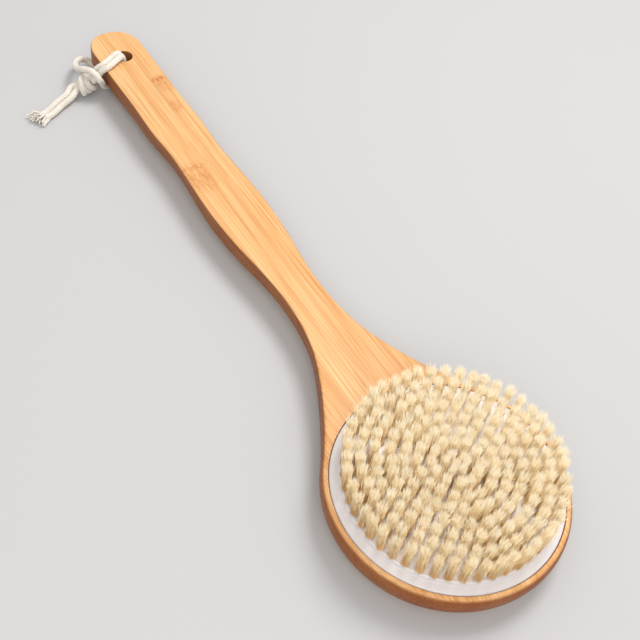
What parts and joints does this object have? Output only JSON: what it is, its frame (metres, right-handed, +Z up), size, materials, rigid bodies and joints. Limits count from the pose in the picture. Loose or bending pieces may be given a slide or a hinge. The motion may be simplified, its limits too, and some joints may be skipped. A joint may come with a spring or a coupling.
{
  "type": "body dry brush",
  "caption": "Long-handled body dry brush: bamboo board with a round bristle plate of natural tufts and a knotted cotton hanging cord.",
  "frame": {"origin": "middle of the bounding box without the cord, on the surface that the brush lies on", "axes": "+X along the handle towards its end, +Y towards the side where the cord hangs, +Z up through the bristles"},
  "size_m": [0.3536, 0.1046, 0.0349],
  "materials": {
    "bamboo": "satin",
    "plate_plastic": "gloss",
    "adhesive": "matte",
    "boar_bristle": "matte",
    "cotton_cord": "matte"
  },
  "bodies": {
    "root": {"bamboo_body": "bamboo", "adhesive_bed": "adhesive", "bristle_plate": "plate_plastic", "centre_tuft": "boar_bristle", "tuft_ring_1": "boar_bristle", "tuft_ring_2": "boar_bristle", "tuft_ring_3": "boar_bristle", "tuft_ring_4": "boar_bristle", "tuft_ring_5": "boar_bristle", "tuft_ring_6": "boar_bristle", "tuft_ring_7": "boar_bristle", "tuft_ring_8": "boar_bristle", "hang_cord": "cotton_cord", "cord_knot": "cotton_cord", "cord_tail_a": "cotton_cord", "cord_tail_b": "cotton_cord"}
  },
  "joints": []
}
